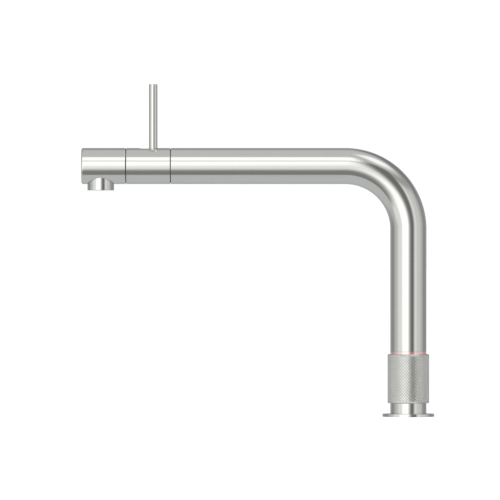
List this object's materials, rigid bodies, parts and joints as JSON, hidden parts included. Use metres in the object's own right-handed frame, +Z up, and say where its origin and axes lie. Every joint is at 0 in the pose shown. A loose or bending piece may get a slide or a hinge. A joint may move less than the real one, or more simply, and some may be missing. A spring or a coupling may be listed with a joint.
{
  "type": "boiling water tap",
  "caption": "Kitchen mixer and boiling water tap: swivelling bent round spout with a lever on top of its control ring, lit ring and knurled push-and-turn handle on the column.",
  "frame": {"origin": "axis of the column at the underside of the base plate, where the worktop fixing holds the tap", "axes": "+Z up the column; the spout points along -X at rest; -Y is the side that the picture shows"},
  "size_m": [0.2928, 0.043, 0.2755],
  "materials": {
    "brushed_steel": "fine brushed stainless steel, satin",
    "knurled_steel": "diamond-knurled stainless steel",
    "spring_steel": "bright drawn steel",
    "brass": "turned brass",
    "black_plastic": "moulded, matte black",
    "black_rubber": "moulded rubber",
    "ceramic": "ground ceramic",
    "circuit_board": "lacquered circuit board",
    "magnet": "bonded ferrite",
    "lit_diffuser": "translucent diffuser, lit red from inside",
    "cold_hose": "smooth hose, blue",
    "hot_hose": "smooth hose, red",
    "boiling_hose": "smooth high-temperature hose, natural"
  },
  "bodies": {
    "base": {"base_plate": "brushed_steel", "base_gasket": "black_rubber", "base_collar": "brushed_steel", "core_column": "brass", "cold_inlet": "brass", "hot_inlet": "brass", "boiling_inlet": "brass", "lead_connector": "black_plastic", "signal_lead": "black_rubber", "slide_key": "spring_steel", "return_spring": "spring_steel", "lamp_carrier": "brass", "sensor_board": "circuit_board", "lamp_board": "circuit_board", "light_ring": "lit_diffuser", "thrust_washer": "black_plastic", "swivel_o_ring": "black_rubber", "retaining_clip": "spring_steel"},
    "handle_slider": {"press_ring": "black_plastic", "hub_clip": "spring_steel"},
    "boiling_handle": {"knurled_sleeve": "knurled_steel", "handle_hub": "black_plastic", "magnet_ring": "magnet"},
    "spout": {"spout_tube": "brushed_steel", "swivel_sleeve": "brass", "lower_swivel_bush": "black_plastic", "upper_swivel_bush": "black_plastic", "cold_hose": "cold_hose", "hot_hose": "hot_hose", "boiling_hose": "boiling_hose", "valve_cap": "brass", "valve_housing": "black_plastic", "valve_sleeve": "ceramic", "spindle_seal": "black_rubber", "head_core": "brass", "rear_ring_bush": "black_plastic", "front_ring_bush": "black_plastic", "head_shell": "brushed_steel", "boiling_pipe": "spring_steel", "outlet_nozzle": "brushed_steel", "nozzle_seal": "black_rubber", "aerator_cup": "black_plastic", "aerator_screen": "black_plastic", "flow_disc": "black_plastic"},
    "temperature_ring": {"control_ring": "brushed_steel", "lever_carrier": "brass", "lever_pivot_pin": "spring_steel"},
    "spindle": {"valve_spindle": "brass", "valve_spool": "ceramic"},
    "flow_lever": {"lever_rod": "brushed_steel", "lever_hub": "brass", "lever_stud": "spring_steel"}
  },
  "joints": [
    {"name": "handle_press", "type": "slide", "parent": "base", "child": "handle_slider", "axis": [0, 0, -1], "range_m": [0, 0.004], "stiffness_N_per_m": 1000, "springref_m": -0.004, "deforming": ["return_spring"]},
    {"name": "handle_turn", "type": "hinge", "parent": "handle_slider", "child": "boiling_handle", "pos_m": [0, 0, 0.031], "axis": [0, 0, 1], "range_deg": [0, 90]},
    {"name": "spout_swivel", "type": "hinge", "parent": "base", "child": "spout", "pos_m": [0, 0, 0.074], "axis": [0, 0, 1], "range_deg": [-90, 270], "deforming": ["cold_hose", "hot_hose", "boiling_hose"]},
    {"name": "temperature_turn", "type": "hinge", "parent": "spout", "child": "temperature_ring", "pos_m": [-0.2115, 0, 0.2077], "axis": [-1, 0, 0], "range_deg": [-45, 45]},
    {"name": "lever_tilt", "type": "hinge", "parent": "temperature_ring", "child": "flow_lever", "pos_m": [-0.2115, 0, 0.2092], "axis": [0, -1, 0], "range_deg": [0, 28]},
    {"name": "spindle_slide", "type": "slide", "parent": "temperature_ring", "child": "spindle", "axis": [1, 0, 0], "range_m": [0, 0.0025]}
  ],
  "couplings": [
    {"joint": "spindle_slide", "follows": "lever_tilt", "m_per_rad": 0.005}
  ]
}
